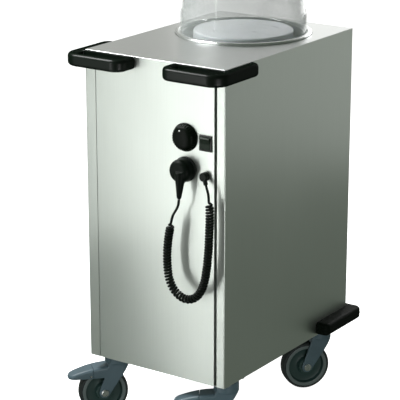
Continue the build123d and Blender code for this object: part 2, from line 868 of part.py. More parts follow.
class Curls:
    """The curled wire about its axis: the curls nearly touch, on the inside of each bend too."""

    def __init__(self, points, axis):
        self.axis = axis
        self.stretches = axis_stretches(points)
        self.whole = sum(length for length, _ in self.stretches)
        self.half = curls_from_end(self.stretches, self.whole / 2)
        self.count = self.half + curls_from_end(self.stretches[::-1], self.whole / 2)

    def wound(self, distance):
        """Curls wound from the start of the axis to a distance along it."""
        if distance > self.whole / 2:
            return self.count - curls_from_end(self.stretches[::-1], self.whole - distance)
        return curls_from_end(self.stretches, distance)

    def place(self, curls):
        """Where along the axis a number of curls is reached."""
        low, high = 0.0, self.whole
        for _ in range(halvings):
            middle = (low + high) / 2
            if self.wound(middle) < curls:
                low = middle
            else:
                high = middle
        return low

    def point(self, distance):
        """A point of the wire beside the axis; the curl grows from nothing at both ends."""
        centre = self.axis.position_at(distance, position_mode=PositionMode.LENGTH)
        along = self.axis.tangent_at(distance, position_mode=PositionMode.LENGTH)
        aside = Vector(0, 1, 0).cross(along).normalized()
        upright = along.cross(aside)
        from_end = (min(distance, self.whole - distance) - 2 * wire_radius) / curl_run_in
        grown = max(0.0, min(1.0, from_end))
        radius = curl_radius * grown * grown * (3 - 2 * grown)
        angle = 2 * math.pi * self.wound(distance)
        return centre + aside * (radius * math.cos(angle)) + upright * (radius * math.sin(angle))


def biarc(start, start_way, end, end_way):
    """Two arcs that join two points and keep both directions."""
    across = end - start
    ways = start_way + end_way
    a = 2 * (1 - start_way.dot(end_way))
    b = 2 * across.dot(ways)
    c = -across.dot(across)
    reach = -c / b if abs(a) < 1e-9 else (-b + math.sqrt(b * b - 4 * a * c)) / (2 * a)
    joint = (start + end + (start_way - end_way) * reach) / 2
    joint_way = (end - end_way * reach) - (start + start_way * reach)
    return [Edge.make_tangent_arc(start, start_way, joint), Edge.make_tangent_arc(joint, joint_way, end)]


def coil_edges(curls):
    """The curled wire's centre line: straight ends and two arcs to each quarter turn."""
    straight = 2 * wire_radius
    steps = round(4 * curls.count)
    places = [curls.place(curls.count * i / steps) for i in range(1, steps)]
    nudge = straight / 100
    ways = [(curls.point(place + nudge) - curls.point(place - nudge)).normalized() for place in places]
    points = [curls.point(place) for place in [straight, *places, curls.whole - straight]]
    ways = [curls.axis % 0, *ways, curls.axis % 1]
    edges = [Edge.make_line(curls.axis @ 0, points[0])]
    for i in range(steps):
        edges += biarc(points[i], ways[i], points[i + 1], ways[i + 1])
    edges.append(Edge.make_line(points[-1], curls.axis @ 1))
    return edges


def coil_gap(curls):
    """Least gap of the wire to itself, on points at least three wire diameters apart along it."""
    count = round(gap_samples * curls.count)
    points = [curls.point(curls.whole * i / count) for i in range(count + 1)]
    run = [0.0]
    for before, here in zip(points, points[1:]):
        run.append(run[-1] + (here - before).length)
    least = curls.whole
    for i, here in enumerate(points):
        for j in range(i + 1, min(i + 3 * gap_samples, len(points))):
            if run[j] - run[i] > 6 * wire_radius:
                least = min(least, (points[j] - here).length)
    return least - 2 * wire_radius


def cord_coil():
    """The curled stretch of the cord as one unbroken tube."""
    axis = cord_line("cord_coil", coil_points)
    curls = Curls([cord_point(point) for point in coil_points], axis)
    edges = coil_edges(curls)
    wire = Wire(edges)
    section = Plane(origin=axis @ 0, z_dir=axis % 0) * Circle(wire_radius)
    body = sweep(section, path=wire)
    share = body.volume / (math.pi * wire_radius**2 * wire.length)
    tightest = min(edge.radius for edge in edges if edge.geom_type == GeomType.CIRCLE)
    print("cord_coil curls", round(curls.count, 1), "wire length", round(wire.length), "volume share", round(share, 4))
    print("cord_coil least gap to itself", round(coil_gap(curls), 2), "tightest arc", round(tightest, 2))
    return body


# ---- electrics inside --------------------------------------------------------------------------

terminal_y = (front_y + terminal_from_front, front_y + terminal_from_front + terminal_depth)


def heater_element():
    """Tubular heater ring under the tube, with two tails that run to the terminal box."""
    z = tube_bottom_z - floor_sheet - heater_drop
    opening = math.radians(heater_gap_angle / 2)
    tail_x = heater_radius * math.sin(opening)
    joint_y = dispenser_y - heater_radius * math.cos(opening)
    loop = ThreePointArc((tail_x, joint_y, z), (0, dispenser_y + heater_radius, z), (-tail_x, joint_y, z))
    section = Plane(origin=loop @ 0, z_dir=loop % 0) * Circle(heater_rod_radius)
    body = sweep(section, path=loop)
    for x in (-tail_x, tail_x):
        body += Pos(x, joint_y, z) * Sphere(heater_rod_radius)
        body += rod(heater_rod_radius, (x, terminal_y[1], z), (x, joint_y, z))
    return body


def terminal_box():
    """Closed terminal box on the floor pan."""
    half = terminal_width / 2
    low = bottom_z + sheet
    body = block((-half, half), terminal_y, (low, low + terminal_height))
    return fillet(body.faces().sort_by(Axis.Z)[-1].edges(), terminal_round)


# ---- castors -----------------------------------------------------------------------------------
# Each is drawn with its swivel axis at the origin and its wheel trailing along +X.

head_top_z = bottom_z - mount_plate - head_gap
hub_at = (castor_trail, axle_z)
fork_half = fork_inside / 2 + fork_wall
pedal_pivot = (pedal_pivot_reach, axle_z + pedal_pivot_rise)


def across_wheel(radius, half, at=hub_at):
    """A disc across the castor, about a point of its side view."""
    return rod(radius, (at[0], -half, at[1]), (at[0], half, at[1]))


def castor_bolt_places():
    """Every bolt of the four castor plates."""
    places = []
    for x, y, _ in castors.values():
        for dx in (-mount_bolt_spacing_x / 2, mount_bolt_spacing_x / 2):
            for dy in (-mount_bolt_spacing_y / 2, mount_bolt_spacing_y / 2):
                places.append((x + dx, y + dy))
    return places


def castor_mounts():
    """Four top plates with their kingpins."""
    mounts = []
    for x, y, _ in castors.values():
        half = (mount_plate_width / 2, mount_plate_length / 2)
        plate = block((x - half[0], x + half[0]), (y - half[1], y + half[1]), (bottom_z - mount_plate, bottom_z))
        plate = fillet(plate.edges().filter_by(Axis.Z), mount_bolt_head_radius)
        for bolt in castor_bolt_places():
            if abs(bolt[0] - x) < half[0] and abs(bolt[1] - y) < half[1]:
                plate -= disc(mount_bolt_radius + screw_clearance, (bottom_z - 2 * mount_plate, bottom_z + sheet), bolt)
        mounts.append(plate + disc(kingpin_radius, (head_top_z - head_height * 0.7, bottom_z - mount_plate), (x, y)))
    return Compound(mounts)


def castor_bolts():
    """Bolts through the castor plates and the floor pan, each with its nut."""
    bolts = []
    plate_bottom = bottom_z - mount_plate
    nut_z = bottom_z + sheet
    for at in castor_bolt_places():
        head = disc(mount_bolt_head_radius, (plate_bottom - mount_bolt_head, plate_bottom), at)
        head = fillet(head.faces().sort_by(Axis.Z)[0].edges(), mount_bolt_head / 2)
        bolt = head + disc(mount_bolt_radius, (plate_bottom, nut_z + 2 * mount_bolt_radius), at)
        bolts.append(bolt + disc(mount_bolt_head_radius - sheet / 2, (nut_z, nut_z + mount_bolt_head), at))
    return Compound(bolts)


def brake_hood():
    """Outer form of a braked castor's hood and pedal together: a smooth dome that runs out to a tongue."""
    back = -brake_hood_back
    crown_z = 2 * wheel_radius + hood_gap + brake_hood_wall
    skirt_z = axle_z + brake_hood_skirt
    tip_z = skirt_z + pedal_tip_thickness
    crown = ThreePointArc((back, 0, crown_z), (castor_trail, 0, crown_z), (pedal_reach, 0, tip_z))
    rest = Polyline((pedal_reach, 0, tip_z), (pedal_reach, 0, skirt_z), (back, 0, skirt_z), (back, 0, crown_z))
    side = make_face(Wire([crown.edge(), *rest.edges()]))
    body = Pos(0, fork_half, 0) * extrude(side, 2 * fork_half, dir=(0, -1, 0))
    tip = pedal_tip_width / 2
    plan = make_face(Polyline(
        (back, -fork_half), (brake_hood_end, -fork_half), (pedal_reach, -tip), (pedal_reach, tip),
        (brake_hood_end, fork_half), (back, fork_half), close=True,
    ))
    plan = fillet(plan.vertices().group_by(Axis.X)[-1], pedal_tip_round)
    body &= extrude(plan, bottom_z, dir=(0, 0, 1))
    top = body.faces().sort_by(Axis.Z)[-1]
    return fillet([edge for edge in top.edges() if edge.center().X > back + ear_gap], brake_hood_round)


def castor_fork(braked):
    """Moulded fork: round swivel head and two slanting legs, with a hood over a braked wheel."""
    head = disc(head_radius, (head_top_z - head_height, head_top_z))
    head = fillet(head.faces().sort_by(Axis.Z)[-1].edges(), head_round)
    shoulder_z = head_top_z - shoulder_drop
    rear = Pos(-shoulder_back, shoulder_z) * Circle(shoulder_radius)
    front = Pos(shoulder_ahead, shoulder_z) * Circle(shoulder_radius)
    tip = Pos(castor_trail, axle_z) * Circle(leg_tip_radius)
    side = make_hull(rear.edges() + front.edges() + tip.edges())
    legs = Pos(0, fork_half, 0) * extrude(Plane.XZ * side, 2 * fork_half)
    reach = castor_trail + leg_tip_radius + fork_round
    plan = Pos((reach - head_radius) / 2, 0) * RectangleRounded(reach + head_radius, 2 * fork_half, fork_round)
    body = head + (legs & extrude(plan, bottom_z, dir=(0, 0, 1)))
    if braked:
        body += brake_hood() & block((-head_radius, brake_hood_end), (-fork_half, fork_half), (0, bottom_z))
        ear = fork_inside / 2 + pedal_ear_wall
        body += across_wheel(pedal_ear_radius, ear, pedal_pivot)
        ear_z = (pedal_pivot[1] - pedal_ear_radius, pedal_pivot[1] + pedal_ear_radius)
        body += block((brake_hood_end - pedal_ear_radius, pedal_pivot[0]), (-ear, ear), ear_z)
        body -= across_wheel(pedal_pin_radius + shaft_clearance, fork_half, pedal_pivot)
    body -= across_wheel(wheel_radius + hood_gap, fork_inside / 2)
    body -= across_wheel(axle_radius + shaft_clearance, 2 * fork_half)
    return body - disc(kingpin_radius + shaft_clearance, (head_top_z - head_height * 0.75, head_top_z))


def castor_rim():
    """Wheel centre: lipped rim, thin web and hub."""
    body = across_wheel(rim_radius, wheel_width / 2 - seat_clearance)
    recess = (wheel_width - rim_web) / 2
    for way in (-1, 1):
        side = way * (rim_web + recess) / 2
        body -= Pos(0, side, 0) * across_wheel(rim_radius - rim_lip, recess / 2)
    body += across_wheel(hub_radius, hub_width / 2)
    return body - across_wheel(axle_radius + shaft_clearance, hub_width)


def castor_tyre():
    """Soft tyre with rounded shoulders."""
    body = across_wheel(wheel_radius, wheel_width / 2)
    body = fillet(body.edges().filter_by(GeomType.CIRCLE), tyre_round)
    return body - across_wheel(rim_radius, wheel_width)


def castor_axle():
    """Axle bolt through both legs."""
    half = fork_half
    body = across_wheel(axle_radius, half + axle_head)
    for way in (-1, 1):
        head = Pos(0, way * (half + axle_head / 2), 0) * across_wheel(axle_head_radius, axle_head / 2)
        body += fillet(head.faces().sort_by(Axis.Y)[-1 if way > 0 else 0].edges(), axle_head / 3)
    return body


def brake_pedal():
    """Pedal that carries the hood's form on to its tip; trodden down, it locks the wheel and the swivel."""
    start = brake_hood_end + ear_gap
    body = brake_hood() & block((start, pedal_reach), (-fork_half, fork_half), (0, bottom_z))
    body -= across_wheel(wheel_radius + hood_gap + ear_gap, fork_inside / 2)
    ear = fork_inside / 2 + pedal_ear_wall + ear_gap
    ear_radius = pedal_ear_radius + ear_gap
    body -= across_wheel(ear_radius, ear, pedal_pivot)
    body -= block((start, pedal_pivot[0]), (-ear, ear), (pedal_pivot[1] - ear_radius, pedal_pivot[1] + ear_radius))
    depth = pedal_pivot_rise - brake_hood_skirt + ear_gap
    low_z = pedal_pivot[1] - depth
    away = start + depth * math.tan(math.radians(pedal_swing))
    wedge = Polyline((start, 0, pedal_pivot[1]), (away, 0, low_z), (start, 0, low_z), close=True)
    body -= Pos(0, fork_half, 0) * extrude(make_face(wedge), 2 * fork_half, dir=(0, -1, 0))
    return body - across_wheel(pedal_pin_radius + shaft_clearance, fork_half, pedal_pivot)


def pedal_pin():
    """Two short pins, one each side of the wheel, that the pedal turns on."""
    x, z = pedal_pivot
    span = (fork_inside / 2 + shaft_clearance, fork_half - 2 * ear_gap)
    return Compound([rod(pedal_pin_radius, (x, way * span[0], z), (x, way * span[1], z)) for way in (-1, 1)])


# ---- fasteners ---------------------------------------------------------------------------------


def rear_screws():
    """Pan-head screws of the rear panel."""
    screws = []
    for x, z in rear_screw_places():
        head = rod(screw_head_radius, (x, rear_y, z), (x, rear_y + screw_head, z))
        head = fillet(head.faces().sort_by(Axis.Y)[-1].edges(), screw_head / 2)
        screws.append(head + rod(screw_radius, (x, rear_y - screw_length, z), (x, rear_y, z)))
    return Compound(screws)


# ---- write every sub-part ----------------------------------------------------------------------

os.makedirs("parts", exist_ok=True)
save("side_panel_left", side_panel(-1, left_return))
save("side_panel_right", side_panel(1, right_return))
save("rear_panel", rear_panel())
save("rear_screws", rear_screws())
save("base_tray", base_tray())
save("corner_post_left", corner_post(-1, panel_left_x))
save("corner_post_right", corner_post(1, panel_right_x))
save("front_panel", front_panel())
save("top_deck", top_deck())
save("handle_left", handle(-1))
save("handle_right", handle(1))
save("rear_bumper_left", rear_bumper(-1))
save("rear_bumper_right", rear_bumper(1))
save("dispenser_tube", dispenser_tube())
save("collar_ring", collar_ring())
save("tube_floor", tube_floor())
save("guide_rods", guide_rods())
save("spring_hanger", spring_hanger())
save("buffers", buffers())
save("lift_springs", lift_springs())
save("platform", platform())
save("platform_carriage", platform_carriage())
save("guide_bushes", guide_bushes())
save("cover", cover())
save("cover_grip", cover_grip())
save("thermostat_knob", thermostat_knob())
save("thermostat_body", thermostat_body())
save("switch_frame", switch_frame())
save("switch_rocker", switch_rocker())
save("parking_socket", parking_socket())
save("plug", plug())
save("cord_gland", cord_gland())
save("cord_plug_tail", cord_end("cord_plug_tail", plug_tail_points))
save("cord_coil", cord_coil())
save("cord_gland_tail", cord_end("cord_gland_tail", gland_tail_points))
save("heater_element", heater_element())
save("terminal_box", terminal_box())
save("castor_mounts", castor_mounts())
save("castor_bolts", castor_bolts())
for corner, (x, y, heading) in castors.items():
    place = Pos(x, y, 0) * Rot(0, 0, heading)
    braked = corner.startswith("front")
    save(f"fork_{corner}", place * castor_fork(braked))
    save(f"axle_{corner}", place * castor_axle())
    save(f"rim_{corner}", place * castor_rim())
    save(f"tyre_{corner}", place * castor_tyre())
    if braked:
        save(f"brake_pedal_{corner}", place * brake_pedal())
        save(f"pedal_pin_{corner}", place * pedal_pin())
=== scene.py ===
import json
import math

import bmesh
import bpy
from mathutils import Matrix, Vector


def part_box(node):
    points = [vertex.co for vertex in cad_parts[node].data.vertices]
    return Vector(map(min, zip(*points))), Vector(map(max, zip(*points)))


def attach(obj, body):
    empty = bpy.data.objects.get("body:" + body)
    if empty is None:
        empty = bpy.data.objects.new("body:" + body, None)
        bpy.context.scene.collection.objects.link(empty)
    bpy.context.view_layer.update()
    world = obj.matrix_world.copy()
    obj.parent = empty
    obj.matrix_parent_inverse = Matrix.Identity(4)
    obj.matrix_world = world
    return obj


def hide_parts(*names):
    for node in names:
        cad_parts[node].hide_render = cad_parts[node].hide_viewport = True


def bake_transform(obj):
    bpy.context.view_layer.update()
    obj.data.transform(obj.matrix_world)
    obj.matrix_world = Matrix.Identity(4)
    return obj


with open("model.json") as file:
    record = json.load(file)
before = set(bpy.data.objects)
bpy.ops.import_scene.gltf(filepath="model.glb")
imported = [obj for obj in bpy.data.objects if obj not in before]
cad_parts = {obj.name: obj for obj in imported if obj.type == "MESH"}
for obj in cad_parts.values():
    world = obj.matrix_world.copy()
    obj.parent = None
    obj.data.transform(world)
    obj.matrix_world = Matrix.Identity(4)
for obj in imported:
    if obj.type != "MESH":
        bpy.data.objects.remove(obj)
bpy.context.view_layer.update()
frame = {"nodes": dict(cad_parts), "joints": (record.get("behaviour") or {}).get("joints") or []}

# ---- camera ----
# The photograph is taken with a long lens, from the right of the cart's front and from above its deck,
# looking slightly down.
view_place = (2.39024, -3.58178, 1.84994)
view_turn = 34.45
view_dip = 17.033
view_lens = 162.0
sensor = 36.0

lens = bpy.data.cameras.new("view")
lens.lens = view_lens
lens.sensor_width = sensor
camera = bpy.data.objects.new("view", lens)
camera.location = view_place
camera.rotation_euler = (math.radians(90 - view_dip), 0, math.radians(view_turn))
bpy.context.collection.objects.link(camera)
bpy.context.scene.camera = camera
bpy.context.scene.view_settings.view_transform = "Standard"

# ---- curly cord, plug and gland ----
# A black rubber lead: out of the angled gland under the switch, down in one long loop of tight curls
# and up again to its moulded plug, which is parked in a dummy socket while the cart is moved.
front_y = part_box("front_panel")[0].y
cabinet_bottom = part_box("front_panel")[0].z
wire_diameter = 0.0062
curl_radius = 0.0074
curl_pitch = 0.0068
curl_run_in = 0.015
points_per_curl = 14
line_step = 0.0004
bend_reach = 0.004
gland_end = [(0.1575, 0.016, 0.503), (0.1635, 0.0205, 0.4945), (0.1692, 0.0238, 0.4867)]
curled = [
    (0.1715, 0.025, 0.476), (0.177, 0.028, 0.450), (0.178, 0.030, 0.416), (0.177, 0.032, 0.366),
    (0.174, 0.034, 0.315), (0.167, 0.036, 0.267), (0.150, 0.038, 0.234), (0.122, 0.040, 0.220),
    (0.092, 0.041, 0.230), (0.071, 0.042, 0.259), (0.065, 0.042, 0.305), (0.0675, 0.042, 0.358),
    (0.0785, 0.041, 0.411),
]
plug_end = [(0.0807, 0.0408, 0.4218), (0.091, 0.039, 0.438), (0.0958, 0.037, 0.450), (0.096, 0.036, 0.463)]


class Value:
    """What a node gives out; sums, products and powers of values add their nodes."""

    def __init__(self, finish, socket):
        self.finish = finish
        self.socket = socket

    def join(self, operation, other, turned=False):
        ends = (other, self) if turned else (self, other)
        return self.finish.node("ShaderNodeMath", {"operation": operation}, {0: ends[0], 1: ends[1]})

    def __add__(self, other):
        return self.join("ADD", other)

    def __sub__(self, other):
        return self.join("SUBTRACT", other)

    def __rsub__(self, other):
        return self.join("SUBTRACT", other, turned=True)

    def __mul__(self, other):
        return self.join("MULTIPLY", other)

    def __pow__(self, other):
        return self.join("POWER", other)

    __radd__ = __add__
    __rmul__ = __mul__


class Finish:
    """One surface finish: a material and the nodes that vary it."""

    def __init__(self, name, inputs):
        self.material = bpy.data.materials.new(name)
        self.material.use_nodes = True
        self.tree = self.material.node_tree
        self.shader = self.tree.nodes["Principled BSDF"]
        self.give(inputs)

    def feed(self, socket, source):
        if isinstance(source, Value):
            self.tree.links.new(source.socket, socket)
        else:
            socket.default_value = source

    def give(self, inputs):
        """Set or link the shader's own inputs."""
        for name, source in inputs.items():
            self.feed(self.shader.inputs[name], source)

    def node(self, kind, settings, inputs, output=0):
        node = self.tree.nodes.new(kind)
        for name, setting in settings.items():
            setattr(node, name, setting)
        for name, source in inputs.items():
            self.feed(node.inputs[name], source)
        return Value(self, node.outputs[output])

    def place(self):
        return self.node("ShaderNodeTexCoord", {}, {}, "Object")

    def noise(self, per_metre, detail=2.0):
        """Noise from 0 to 1, with its own number of grains to the metre along each axis."""
        stretched = self.node("ShaderNodeMapping", {}, {"Vector": self.place(), "Scale": per_metre})
        return self.node("ShaderNodeTexNoise", {}, {"Vector": stretched, "Scale": 1.0, "Detail": detail})

    def mix(self, low, high, mask):
        """A colour between two, by a mask."""
        return self.node("ShaderNodeMix", {"data_type": "RGBA"}, {0: mask, 6: low, 7: high}, 2)

    def relief(self, height, depth):
        """Bump of a depth in metres."""
        inputs = {"Height": height, "Distance": depth, "Strength": 1.0}
        self.give({"Normal": self.node("ShaderNodeBump", {}, inputs)})

    def put_on(self, *objects):
        for item in objects:
            if not item.material_slots:
                item.data.materials.append(self.material)
            for place in item.material_slots:
                place.material = self.material


def shade(colour, factor):
    """A colour made darker or lighter."""
    return (*[channel * factor for channel in colour[:3]], 1.0)


def moulding(name, colour, roughness, grain=900.0, depth=0.00004, shader=None):
    """Moulded plastic or rubber: a fine grain, with a gloss and a colour that wander a little."""
    finish = Finish(name, shader or {})
    broad = finish.noise((22.0,) * 3, 3.0)
    fine = finish.noise((grain,) * 3)
    finish.give({
        "Base Color": finish.mix(shade(colour, 0.82), shade(colour, 1.18), broad),
        "Roughness": broad * 0.16 + (roughness - 0.08),
    })
    finish.relief(fine, depth)
    return finish


def settle(piece, body, slot, *nodes):
    """Fix a finished piece to the body it belongs to, in the place of its plain solids."""
    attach(piece, body)
    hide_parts(*nodes)
    return piece


def new_piece(name, mesh):
    piece = bpy.data.objects.new(name, mesh)
    bpy.context.collection.objects.link(piece)
    return piece


def made_plain(piece):
    """Work out a piece's modifiers and leave it a plain mesh."""
    depsgraph = bpy.context.evaluated_depsgraph_get()
    mesh = bpy.data.meshes.new_from_object(piece.evaluated_get(depsgraph), depsgraph=depsgraph)
    piece.modifiers.clear()
    piece.data = mesh
    return piece


def soften(mesh, angle=35.0):
    """Smooth shading, with edges kept where faces meet more sharply than an angle."""
    mesh.shade_smooth()
    mesh.set_sharp_from_angle(angle=math.radians(angle))


def moulded(name, node, voxel, easing):
    """One piece as a single moulding: every edge and every inner corner eased."""
    mesh = frame["nodes"][node].data.copy()
    work = bmesh.new()
    work.from_mesh(mesh)
    bmesh.ops.remove_doubles(work, verts=work.verts, dist=1e-6)
    work.to_mesh(mesh)
    work.free()
    mesh.materials.clear()
    piece = new_piece(name, mesh)
    skin = piece.modifiers.new("skin", "REMESH")
    skin.mode = "VOXEL"
    skin.voxel_size = voxel
    ease = piece.modifiers.new("ease", "SMOOTH")
    ease.factor = 0.5
    ease.iterations = easing
    made_plain(piece)
    piece.data.shade_smooth()
    return piece


def on_front(point):
    """A point from its distances right of the middle, out from the front and up from the cabinet's bottom."""
    right, out, up = point
    return Vector((right, front_y - out, cabinet_bottom + up))


def thread(name, points):
    """A curve of one smooth open line."""
    curve = bpy.data.curves.new(name, "CURVE")
    curve.dimensions = "3D"
    spline = curve.splines.new("NURBS")
    spline.points.add(len(points) - 1)
    for knot, point in zip(spline.points, points):
        knot.co = (*point, 1.0)
    spline.order_u = 3
    spline.use_endpoint_u = True
    return curve


def line_through(points):
    """The smooth line of a route, read back from its curve."""
    curve = thread("route", points)
    curve.resolution_u = 40
    holder = bpy.data.objects.new("route", curve)
    line = [vertex.co.copy() for vertex in bpy.data.meshes.new_from_object(holder).vertices]
    bpy.data.objects.remove(holder)
    return line


class Walk:
    """Places along a line by their distance from its start."""

    def __init__(self, line):
        self.line = line
        self.run = [0.0]
        for before, here in zip(line, line[1:]):
            self.run.append(self.run[-1] + (here - before).length)

    def at(self, distance):
        distance = max(0.0, min(self.run[-1], distance))
        low, high = 0, len(self.run) - 1
        while high - low > 1:
            middle = (low + high) // 2
            low, high = (middle, high) if self.run[middle] <= distance else (low, middle)
        share = (distance - self.run[low]) / (self.run[high] - self.run[low])
        return self.line[low].lerp(self.line[high], share)

    def along(self, distance):
        return (self.at(distance + line_step) - self.at(distance - line_step)).normalized()

    def bend(self, distance):
        """How sharply the line turns, as one over its radius."""
        turn = self.along(distance - bend_reach).angle(self.along(distance + bend_reach))
        return turn / (2 * bend_reach)

    def nearest(self, point):
        return min(zip(self.run, self.line), key=lambda pair: (pair[1] - point).length)[0]


def curls(walk, start, end):
    """Points of the curled wire about its line; the curls grow from nothing at both ends."""
    points = []
    turn = 0.0
    marked = 0.0
    distance = start
    out_radius = curl_radius / math.cos(math.pi / points_per_curl)
    while distance < end:
        from_end = min(distance - start, end - distance) - wire_diameter
        grown = max(0.0, min(1.0, from_end / curl_run_in))
        if turn >= marked:
            along = walk.along(distance)
            aside = Vector((0, 1, 0)).cross(along).normalized()
            upright = along.cross(aside)
            radius = out_radius * grown * grown * (3 - 2 * grown)
            angle = 2 * math.pi * turn
            arm = aside * (radius * math.cos(angle)) + upright * (radius * math.sin(angle))
            points.append(walk.at(distance) + arm)
            marked += 1 / points_per_curl
        turn += line_step * grown * (1 - curl_radius * walk.bend(distance)) / curl_pitch
        distance += line_step
    return points


route = [on_front(point) for point in (*gland_end, *curled, *plug_end)]
walk = Walk(line_through(route))
curl_start = walk.nearest(on_front(curled[0]))
curl_end = walk.nearest(on_front(curled[-1]))
wire = [
    *[on_front(point) for point in gland_end],
    *curls(walk, curl_start, curl_end),
    *[on_front(point) for point in plug_end],
]
wire_curve = thread("curly_cord", wire)
wire_curve.resolution_u = 3
wire_curve.bevel_depth = wire_diameter / 2
wire_curve.bevel_resolution = 3
wire_curve.use_fill_caps = True
cord = new_piece("curly_cord", wire_curve)
cord_colour = (0.0030, 0.0055, 0.0035, 1.0)
moulding("cord rubber", cord_colour, 0.42, shader={"Specular IOR Level": 0.12}).put_on(cord)

plug = moulded("moulded_plug", "plug", voxel=0.0012, easing=40)
plug_colour = (0.0028, 0.0055, 0.0035, 1.0)
moulding("plug rubber", plug_colour, 0.42, grain=1400.0, shader={"Specular IOR Level": 0.08}).put_on(plug)
settle(plug, "root", "plug_rubber", "plug")

gland = moulded("moulded_gland", "cord_gland", voxel=0.0006, easing=3)
moulding("gland plastic", plug_colour, 0.36, shader={"Specular IOR Level": 0.14}).put_on(gland)
settle(gland, "root", "gland_plastic", "cord_gland")

settle(cord, "root", "cord_rubber", "cord_plug_tail", "cord_coil", "cord_gland_tail")

# ---- cabinet sheets ----
# Stainless steel, brushed upright on the sides, front and rear. The sheets are cut and folded, the sides
# in one piece with their front posts, and the front panel is let in between the posts.
brush_fine = 950.0
brush_long = 5.0


def brushed(name, colour, roughness, per_metre, wander=0.10):
    """Brushed sheet: long fine scratches, and broad soft patches where hands and cloths have been."""
    finish = Finish(name, {"Metallic": 1.0})
    scratches = finish.noise(per_metre, 3.0)
    patches = finish.noise((3.5, 3.5, 2.2), 3.0)
    finish.give({
        "Base Color": finish.mix(shade(colour, 0.90), shade(colour, 1.10), scratches * 0.6 + patches * 0.4),
        "Roughness": scratches * 0.10 + patches * wander + (roughness - 0.05 - wander / 2),
    })
    finish.relief(scratches, 0.00006)
    return finish


cabinet_colour = (0.60, 0.64, 0.60, 1.0)
side_steel = brushed("side steel", cabinet_colour, 0.40, (brush_fine, brush_fine, brush_long), 0.08)
side_steel.put_on(*[frame["nodes"][name] for name in ("side_panel_left", "side_panel_right", "rear_panel")])
front_steel = brushed("front steel", cabinet_colour, 0.38, (brush_fine, brush_fine, brush_long), 0.08)
front_steel.put_on(frame["nodes"]["front_panel"])

deck_colour = (0.66, 0.67, 0.665, 1.0)
deck_steel = brushed("deck steel", deck_colour, 0.34, (brush_long, brush_fine, brush_fine))
deck_steel.put_on(frame["nodes"]["top_deck"])

inner_colour = (0.50, 0.52, 0.51, 1.0)
inner_steel = brushed("inner steel", inner_colour, 0.45, (60.0, 60.0, 60.0))
inner_names = (
    "base_tray", "corner_post_left", "corner_post_right", "spring_hanger", "platform_carriage", "tube_floor",
)
inner_steel.put_on(*[frame["nodes"][name] for name in inner_names])

# ---- rear screws ----
# Eight pan-head screws with crossed recesses, bright zinc plated, hold the flat rear panel to the side
# sheets' returns.
screw_head_radius = 0.004
screw_head_rise = 0.0018
screw_shank_radius = 0.002
screw_shank_length = 0.010
recess_width = 0.0011
recess_reach = 0.0046
rear_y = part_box("rear_panel")[1].y
screw_low, screw_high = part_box("rear_screws")


class Plan:
    """A geometry nodes tree with named inputs, put on a piece and worked out."""

    def __init__(self, name, **inputs):
        self.tree = bpy.data.node_groups.new(name, "GeometryNodeTree")
        self.values = inputs
        self.tree.interface.new_socket("Geometry", in_out="INPUT", socket_type="NodeSocketGeometry")
        kinds = {float: "NodeSocketFloat", int: "NodeSocketInt"}
        for label, number in inputs.items():
            self.tree.interface.new_socket(label, in_out="INPUT", socket_type=kinds[type(number)])
        self.tree.interface.new_socket("Geometry", in_out="OUTPUT", socket_type="NodeSocketGeometry")
        self.start = self.tree.nodes.new("NodeGroupInput")
        self.end = self.tree.nodes.new("NodeGroupOutput")

    def given(self, label):
        return self.start.outputs[label]

    def node(self, kind, settings, inputs, output=0):
        node = self.tree.nodes.new(kind)
        for name, setting in settings.items():
            setattr(node, name, setting)
        for name, source in inputs.items():
            for one in source if isinstance(source, list) else [source]:
                if isinstance(one, bpy.types.NodeSocket):
                    self.tree.links.new(one, node.inputs[name])
                else:
                    node.inputs[name].default_value = one
        return node.outputs[output]

    def math(self, operation, first, second):
        return self.node("ShaderNodeMath", {"operation": operation}, {0: first, 1: second})

    def vector(self, x=0.0, y=0.0, z=0.0):
        return self.node("ShaderNodeCombineXYZ", {}, {"X": x, "Y": y, "Z": z})

    def moved(self, shape, place):
        return self.node("GeometryNodeTransform", {}, {"Geometry": shape, "Translation": place})

    def joined(self, *shapes):
        return self.node("GeometryNodeJoinGeometry", {}, {"Geometry": list(shapes)})

    def disc(self, sides, radius, depth, low):
        """A closed prism or cylinder that stands on a height."""
        inputs = {"Vertices": sides, "Radius": radius, "Depth": depth}
        shape = self.node("GeometryNodeMeshCylinder", {}, inputs, "Mesh")
        middle = self.math("ADD", low, self.math("MULTIPLY", depth, 0.5))
        return self.moved(shape, self.vector(z=middle))

    def finished(self, shape, finish):
        """End the tree and give the finish to what it makes."""
        real = self.node("GeometryNodeRealizeInstances", {}, {"Geometry": shape})
        done = self.node("GeometryNodeSetMaterial", {}, {"Geometry": real, "Material": finish.material})
        self.tree.links.new(done, self.end.inputs["Geometry"])

    def put_on(self, piece):
        modifier = piece.modifiers.new(self.tree.name, "NODES")
        modifier.node_group = self.tree
        for item in self.tree.interface.items_tree:
            if item.in_out == "INPUT" and item.name in self.values:
                modifier[item.identifier] = self.values[item.name]
        return made_plain(piece)


def points_piece(name, places):
    mesh = bpy.data.meshes.new(name)
    mesh.from_pydata(places, [], [])
    return new_piece(name, mesh)


zinc = Finish("zinc plate", {"Metallic": 1.0})
zinc_patches = zinc.noise((160.0,) * 3, 3.0)
zinc.give({
    "Base Color": zinc.mix((0.52, 0.54, 0.54, 1.0), (0.70, 0.71, 0.69, 1.0), zinc_patches),
    "Roughness": zinc_patches * 0.16 + 0.20,
})

